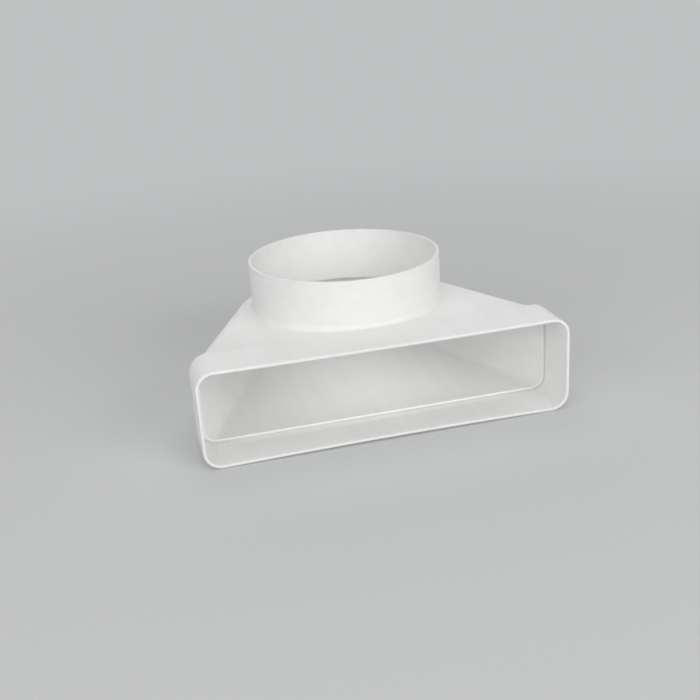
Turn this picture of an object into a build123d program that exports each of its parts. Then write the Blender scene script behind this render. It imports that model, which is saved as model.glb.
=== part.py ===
from build123d import *
from math import acos, atan2, cos, degrees, hypot, radians, sin, tan
import os

# Flat duct elbow, moulded in one piece with an even wall. A flat duct slides into the socket at the front
# as far as the stop, and a round duct slides over the spigot on top. X is the width, -Y faces the flat duct.

# Ducts that the elbow joins
flat_duct_width = 220.0
flat_duct_height = 55.0
flat_duct_corner = 8.3
round_duct_bore = 125.0
socket_clearance = 0.5
spigot_clearance = 0.3

# Moulding
wall = 2.0
socket_depth = 30.0
stop_height = 2.3
roof_bow = 0.65
floor_bow = 1.4
body_draft = 1.1
spigot_draft = 1.8
spigot_length = 32.0
spigot_gap = 2.3
spigot_root_radius = 3.5
spigot_root_steps = 6
back_ledge = 0.8
shoulder_edge = 1.0
rim_edge = 0.4

# Sizes that follow
socket_width = flat_duct_width + 2 * (socket_clearance + wall)
socket_height = flat_duct_height + 2 * (socket_clearance + wall)
socket_corner = flat_duct_corner + socket_clearance + wall
spigot_radius = round_duct_bore / 2 - spigot_clearance
body_edge_radius = socket_corner - stop_height
body_back_radius = spigot_radius + spigot_root_radius + back_ledge + body_edge_radius

# Places along Y, with the middle of the overall length at the origin
spigot_setback = socket_depth + wall + spigot_gap + spigot_root_radius + spigot_radius
mouth_y = -(spigot_setback + body_back_radius) / 2
stop_y = mouth_y + socket_depth
spigot_y = mouth_y + spigot_setback
stop_to_spigot = spigot_y - stop_y

# The roof falls and the floor rises from the stop to the back, by the draft that lets the core out
draft_slope = tan(radians(body_draft))
mid_height = socket_height / 2
roof_rise = mid_height - stop_height
roof_height = mid_height + roof_rise - draft_slope * stop_to_spigot
rim_height = roof_height + spigot_length

# The end of the round duct sits level, just clear of the spigot's root where the roof is highest
seat_height = roof_height + draft_slope * spigot_radius + spigot_root_radius + spigot_clearance

# The straight sides run from the stop to the round back, and meet it where it faces this way from X
stop_half_width = socket_width / 2 - stop_height
side_facing = atan2(-stop_to_spigot, stop_half_width) + acos(
    body_back_radius / hypot(stop_half_width, stop_to_spigot)
)

side_run = (stop_to_spigot + body_back_radius) / cos(side_facing)

parting_plane = Plane.XY.offset(mid_height)


def roof_plane(y, z):
    """A plane with the roof's slope through a point on the middle of the part."""
    return Plane((0, y, z), x_dir=(1, 0, 0), z_dir=(0, draft_slope, 1))


def socket_section(depth, inset):
    """Rounded rectangle across the socket. Its long walls bow inwards at the mouth and not at the stop."""
    half = socket_width / 2 - inset
    low, high = inset, socket_height - inset
    bow_share = max(0, 1 - depth / socket_depth)

    def long_wall(start, end, bow):
        return SagittaArc(start, end, bow) if bow else Line(start, end)

    outline = [
        long_wall((-half, low), (half, low), floor_bow * bow_share),
        Line((half, low), (half, high)),
        long_wall((half, high), (-half, high), roof_bow * bow_share),
        Line((-half, high), (-half, low)),
    ]
    section = make_face(outline)
    section = fillet(section.vertices(), socket_corner - inset)
    return Plane((0, mouth_y + depth, 0), x_dir=(1, 0, 0), z_dir=(0, -1, 0)) * section


def socket_form(*stations):
    """The socket through its sections, each at a depth from the mouth and an inset from the outside."""
    return loft([socket_section(depth, inset) for depth, inset in stations], ruled=True)


def body_form(inset):
    """The body behind the stop: two mirrored halves, drafted away from the parting plane at mid height.
    One section is turned round the back and then run straight along both sides, past the stop."""
    radius = body_back_radius - inset
    rise = roof_rise * cos(radians(body_draft)) - inset
    section = make_face(
        Polyline((0, 0), (radius, 0), (radius - rise * draft_slope, rise), (0, rise), close=True)
    )
    top_corner = section.vertices().group_by(Axis.Y)[-1].sort_by(Axis.X)[-1]
    section = Plane.XZ * fillet(top_corner, body_edge_radius - inset)
    side = Rot(0, 0, degrees(side_facing)) * extrude(section, side_run)
    back = Rot(0, 0, degrees(side_facing)) * revolve(section, Axis.Z, 180 - 2 * degrees(side_facing))
    front_x, front_y = side_run * sin(side_facing), -side_run * cos(side_facing)
    middle = extrude(make_face(Polyline((0, 0), (-front_x, front_y), (front_x, front_y), close=True)), rise)
    upper = roof_plane(stop_y, mid_height) * Pos(0, stop_to_spigot, 0) * (
        back + side + mirror(side, Plane.YZ) + middle
    )
    upper = split(upper, parting_plane, keep=Keep.TOP)
    upper = split(upper, Plane((0, stop_y, 0), z_dir=(0, 1, 0)), keep=Keep.TOP)
    return upper + mirror(upper, parting_plane)


def spigot_root():
    """A disc that lies square to the roof. Its hollow edge leads from the roof up into the spigot in cones."""
    hollow = []
    for step in range(spigot_root_steps + 1):
        turn = radians(90 * step / spigot_root_steps)
        out, up = 1 - sin(turn), 1 - cos(turn)
        hollow.append((spigot_radius + spigot_root_radius * out, spigot_root_radius * up))
    outer, inner = hollow[0][0], 0
    profile = make_face(
        Polyline((inner, -wall), (outer, -wall), *hollow, (inner, spigot_root_radius), close=True)
    )
    return roof_plane(spigot_y, roof_height) * revolve(Plane.XZ * profile, Axis.Z)


def spigot_form():
    """The spigot, straight from the rim down to the round duct's seat and drafted below it."""
    foot_radius = spigot_radius + (seat_height - mid_height) * tan(radians(spigot_draft))
    profile = make_face(
        Polyline(
            (0, mid_height),
            (foot_radius, mid_height),
            (spigot_radius, seat_height),
            (spigot_radius, rim_height),
            (0, rim_height),
            close=True,
        )
    )
    return Pos(0, spigot_y, 0) * revolve(Plane.XZ * profile, Axis.Z)


def spigot_bore():
    """The round way through the spigot, from the parting plane up to the rim."""
    bar = Cylinder(spigot_radius - wall, rim_height - mid_height, align=(Align.CENTER, Align.CENTER, Align.MIN))
    return Pos(0, spigot_y, mid_height) * bar


outside = socket_form((0, rim_edge), (rim_edge, 0), (socket_depth, 0), (socket_depth + wall, shoulder_edge))
outside += body_form(0)
outside += spigot_root()
outside += spigot_form()

airway = socket_form((0, wall - rim_edge), (rim_edge, wall), (socket_depth, wall))
airway += body_form(wall)
airway += spigot_bore()

elbow = outside - airway
elbow = chamfer(elbow.faces().sort_by(Axis.Z)[-1].edges(), rim_edge)

os.makedirs("parts", exist_ok=True)
export_step(elbow, "parts/elbow.step")
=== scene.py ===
import bmesh
import bpy
from math import radians
from mathutils import Matrix, Vector


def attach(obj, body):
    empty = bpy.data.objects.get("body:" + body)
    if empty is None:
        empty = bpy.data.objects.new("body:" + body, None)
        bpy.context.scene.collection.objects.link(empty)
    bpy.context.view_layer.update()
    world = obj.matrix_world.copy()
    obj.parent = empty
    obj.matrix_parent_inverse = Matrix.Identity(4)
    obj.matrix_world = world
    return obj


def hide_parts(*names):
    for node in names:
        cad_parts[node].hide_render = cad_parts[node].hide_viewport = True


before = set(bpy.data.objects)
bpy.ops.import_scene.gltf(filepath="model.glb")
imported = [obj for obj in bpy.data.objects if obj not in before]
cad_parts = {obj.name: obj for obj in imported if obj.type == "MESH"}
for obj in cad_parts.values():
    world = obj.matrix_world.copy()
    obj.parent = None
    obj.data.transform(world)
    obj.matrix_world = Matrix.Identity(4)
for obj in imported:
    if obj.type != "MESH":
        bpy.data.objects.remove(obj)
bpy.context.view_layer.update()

# Elbow: the whole fitting, one thin-walled injection moulding in white plastic, closed in a mould that
# parts at mid height. A flat duct slides into the mouth in front and a round one goes over the spigot, so
# it carries no fixings.
bpy.ops.object.select_all(action="DESELECT")
elbow = bpy.data.objects.new("moulded_elbow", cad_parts["elbow"].data.copy())
bpy.context.scene.collection.objects.link(elbow)
bpy.context.view_layer.objects.active = elbow
elbow.select_set(True)

# Its wall arrives as loose triangles, which are merged. Surfaces that meet below the blend angle then flow
# into each other, which softens the eased rims and the spigot's root.
merge_distance = 0.000002
blend_angle = radians(50)
bpy.ops.object.mode_set(mode="EDIT")
bpy.ops.mesh.select_all(action="SELECT")
bpy.ops.mesh.remove_doubles(threshold=merge_distance)
bpy.ops.object.mode_set(mode="OBJECT")
bpy.ops.mesh.customdata_custom_splitnormals_clear()
bpy.ops.object.shade_smooth_by_angle(angle=blend_angle)

# The stop inside and the shoulder outside are crisp along their tops and run out softly at their feet.
stop_face = -0.0575
shoulder_face = -0.0555
face_margin = 0.00001


def lies_in(edge, face):
    return all(abs(point.co.y - face) < face_margin for point in edge.verts)


bpy.ops.object.mode_set(mode="EDIT")
bpy.ops.mesh.select_all(action="DESELECT")
for edge in bmesh.from_edit_mesh(elbow.data).edges:
    on_step = lies_in(edge, stop_face) or lies_in(edge, shoulder_face)
    edge.select_set(on_step and not edge.is_convex)
bpy.ops.mesh.mark_sharp(clear=True)
bpy.ops.object.mode_set(mode="OBJECT")
flat_walls = elbow.modifiers.new("flat_walls", "WEIGHTED_NORMAL")
flat_walls.keep_sharp = True
bpy.ops.object.modifier_apply(modifier=flat_walls.name)


class Socket:
    """A shader socket for use in Python expressions, where each operator adds a Math node."""

    def __init__(self, finish, output):
        self.finish = finish
        self.output = output

    def math(self, operation, first, second):
        return self.finish.node("ShaderNodeMath", {"operation": operation}, {0: first, 1: second})

    def __add__(self, other):
        return self.math("ADD", self, other)

    def __radd__(self, other):
        return self.math("ADD", other, self)

    def __sub__(self, other):
        return self.math("SUBTRACT", self, other)

    def __rsub__(self, other):
        return self.math("SUBTRACT", other, self)

    def __mul__(self, other):
        return self.math("MULTIPLY", self, other)

    def __rmul__(self, other):
        return self.math("MULTIPLY", other, self)


class Finish:
    """The nodes of one material or of the world, all added by one method."""

    def __init__(self, owner):
        owner.use_nodes = True
        self.nodes = owner.node_tree.nodes
        self.links = owner.node_tree.links
        self.nodes.clear()

    def node(self, kind, settings=None, sockets=None, output=0):
        added = self.nodes.new(kind)
        for name, value in (settings or {}).items():
            setattr(added, name, value)
        for name, value in (sockets or {}).items():
            if isinstance(value, Socket):
                self.links.new(value.output, added.inputs[name])
            else:
                added.inputs[name].default_value = value
        return Socket(self, added.outputs[output]) if added.outputs else None


# The plastic is a neutral white. Its filler clouds it very faintly, the melt leaves long pale streaks along
# its flow, and the spark-worn steel leaves a fine grain. A thin wall is never quite flat either.
greyer_white = (0.885, 0.888, 0.874, 1.0)
purer_white = (0.935, 0.938, 0.928, 1.0)
cloud_scale = 15.0
flow_scale = (150.0, 11.0, 150.0)
grain_scale = 2200.0
cloud_contrast = 1.6
streak_contrast = 1.4
noise_offset = 1.0
white_plastic = bpy.data.materials.new("white_plastic")
plastic = Finish(white_plastic)
place = plastic.node("ShaderNodeTexCoord", output="Object")
cloud = plastic.node(
    "ShaderNodeTexNoise",
    None,
    {"Vector": place, "Scale": cloud_scale, "Detail": 3.0, "Roughness": 0.55},
)
along_flow = plastic.node("ShaderNodeMapping", None, {"Vector": place, "Scale": flow_scale})
streak = plastic.node("ShaderNodeTexNoise", None, {"Vector": along_flow, "Scale": 1.0, "Detail": 2.0})
grain = plastic.node("ShaderNodeTexNoise", None, {"Vector": place, "Scale": grain_scale, "Detail": 2.0})
purity = cloud * cloud_contrast + streak * streak_contrast - noise_offset
tone = plastic.node(
    "ShaderNodeMix",
    {"data_type": "RGBA"},
    {0: purity, 6: greyer_white, 7: purer_white},
    output=2,
)

# The two mould halves meet at mid height, where they leave a hair line round the outside.
parting_height = 0.030
parting_line = 0.0003
spigot_axis = (0.0, 0.0125, 0.0)
height = plastic.node("ShaderNodeSeparateXYZ", None, {"Vector": place}, output="Z")
off_line = plastic.node("ShaderNodeMath", {"operation": "ABSOLUTE"}, {0: height - parting_height})
line = plastic.node(
    "ShaderNodeMapRange",
    {"interpolation_type": "SMOOTHSTEP"},
    {"Value": off_line, "From Min": 0.0, "From Max": parting_line, "To Min": 1.0, "To Max": 0.0},
)
from_axis = plastic.node("ShaderNodeVectorMath", {"operation": "SUBTRACT"}, {0: place, 1: spigot_axis})
facing = plastic.node("ShaderNodeNewGeometry", output="Normal")
outward = plastic.node(
    "ShaderNodeVectorMath",
    {"operation": "DOT_PRODUCT"},
    {0: from_axis, 1: facing},
    output="Value",
)
outside = plastic.node("ShaderNodeMath", {"operation": "GREATER_THAN"}, {0: outward, 1: 0.0})

# The skin is satin. Its slow wave, the hair line and the grain are at most a tenth of a millimetre deep.
wave_scale = 24.0
wave_depth = 0.0001
parting_depth = 0.00008
grain_depth = 0.000012
least_roughness = 0.37
cloud_roughness = 0.10
streak_roughness = 0.06
grain_roughness = 0.05
wave = plastic.node("ShaderNodeTexNoise", None, {"Vector": place, "Scale": wave_scale, "Detail": 1.0})
wavy = plastic.node("ShaderNodeBump", None, {"Distance": wave_depth, "Height": wave})
parted = plastic.node(
    "ShaderNodeBump",
    None,
    {"Distance": parting_depth, "Height": line * outside, "Normal": wavy},
)
grained = plastic.node(
    "ShaderNodeBump",
    None,
    {"Distance": grain_depth, "Height": grain, "Normal": parted},
)
dullness = least_roughness + cloud * cloud_roughness + streak * streak_roughness + grain * grain_roughness
skin = plastic.node(
    "ShaderNodeBsdfPrincipled",
    None,
    {"Base Color": tone, "Roughness": dullness, "IOR": 1.5, "Normal": grained},
)
plastic.node("ShaderNodeOutputMaterial", None, {"Surface": skin})
elbow.data.materials.clear()
elbow.data.materials.append(white_plastic)

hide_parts("elbow")
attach(elbow, "root")

# Floor: a wide sheet of pale grey paper, laid flat under the elbow. It takes the shadow, throws some light
# back up, and fades into an even backdrop far off.
floor_size = 60.0
fade_start = 0.18
fade_end = 0.9
paper_grey = (0.7, 0.705, 0.71, 1.0)
backdrop_grey = (0.53, 0.535, 0.54, 1.0)


def background_rays(finish):
    """One for the rays that show the background: straight to the lens, mirrored or through glass."""
    seen = finish.node("ShaderNodeLightPath", output="Is Camera Ray")
    mirrored = finish.node("ShaderNodeLightPath", output="Is Glossy Ray")
    through = finish.node("ShaderNodeLightPath", output="Is Transmission Ray")
    return seen + mirrored + through


bpy.ops.object.select_all(action="DESELECT")
bpy.ops.mesh.primitive_plane_add(size=floor_size)
floor = bpy.context.active_object
floor.name = "studio_floor"
pale_paper = bpy.data.materials.new("pale_paper")
paper = Finish(pale_paper)
spot = paper.node("ShaderNodeTexCoord", output="Object")
reach = paper.node("ShaderNodeVectorMath", {"operation": "LENGTH"}, {0: spot}, output="Value")
far = paper.node(
    "ShaderNodeMapRange",
    {"interpolation_type": "SMOOTHSTEP"},
    {"Value": reach, "From Min": fade_start, "From Max": fade_end},
)
lit_paper = paper.node("ShaderNodeBsdfDiffuse", None, {"Color": paper_grey})
far_paper = paper.node("ShaderNodeEmission", None, {"Color": backdrop_grey})
sheet = paper.node(
    "ShaderNodeMixShader",
    None,
    {0: far * background_rays(paper), 1: lit_paper, 2: far_paper},
)
paper.node("ShaderNodeOutputMaterial", None, {"Surface": sheet})
floor.data.materials.append(pale_paper)


# Lights: soft boxes of plain white light, hung where they leave no hard shadow, in a pale room that fills in
# between them. A broad one stands on each side of the mouth and the largest hangs overhead. Weaker ones stand
# in front and behind.
def soft_box(name, at, width, height, power):
    lamp = bpy.data.lights.new(name, "AREA")
    lamp.shape = "RECTANGLE"
    lamp.size = width
    lamp.size_y = height
    lamp.energy = power
    box = bpy.data.objects.new(name, lamp)
    box.location = at
    box.rotation_euler = (-Vector(at)).to_track_quat("-Z", "Y").to_euler()
    bpy.context.scene.collection.objects.link(box)


soft_box("right_box", at=(1.0, -1.6, 0.8), width=1.4, height=1.0, power=14.0)
soft_box("left_box", at=(-1.6, -1.2, 0.8), width=1.8, height=1.2, power=12.5)
soft_box("front_box", at=(-0.2, -1.75, 0.85), width=1.8, height=0.8, power=6.5)
soft_box("top_box", at=(0, 0.1, 2.0), width=2.4, height=2.4, power=15.0)
soft_box("back_box", at=(0, 1.7, 0.7), width=2.6, height=1.0, power=5.5)

room_white = (1.0, 1.0, 1.0, 1.0)
room_strength = 0.16
studio = bpy.data.worlds.new("studio")
bpy.context.scene.world = studio
room = Finish(studio)
fill = room.node("ShaderNodeBackground", None, {"Color": room_white, "Strength": room_strength})
backdrop = room.node("ShaderNodeBackground", None, {"Color": backdrop_grey})
walls = room.node("ShaderNodeMixShader", None, {0: background_rays(room), 1: fill, 2: backdrop})
room.node("ShaderNodeOutputWorld", None, {"Surface": walls})

# Camera: 0.65 m from the elbow, a little to the left of its mouth and 21 degrees above it, with a slight
# roll. The view is straight through the lens, with no shift.
eye = Vector((-0.14234, -0.59222, 0.26304))
forward = Vector((0.21353, 0.90666, -0.36383)).normalized()
up = Vector((0.14864, 0.33794, 0.92936)).normalized()
lens = bpy.data.cameras.new("camera")
lens.sensor_width = 36.0
lens.lens = 50.62
camera = bpy.data.objects.new("camera", lens)
turn = Matrix((forward.cross(up), up, -forward)).transposed()
camera.matrix_world = Matrix.Translation(eye) @ turn.to_4x4()
bpy.context.scene.collection.objects.link(camera)
bpy.context.scene.camera = camera
bpy.context.scene.view_settings.view_transform = "Standard"
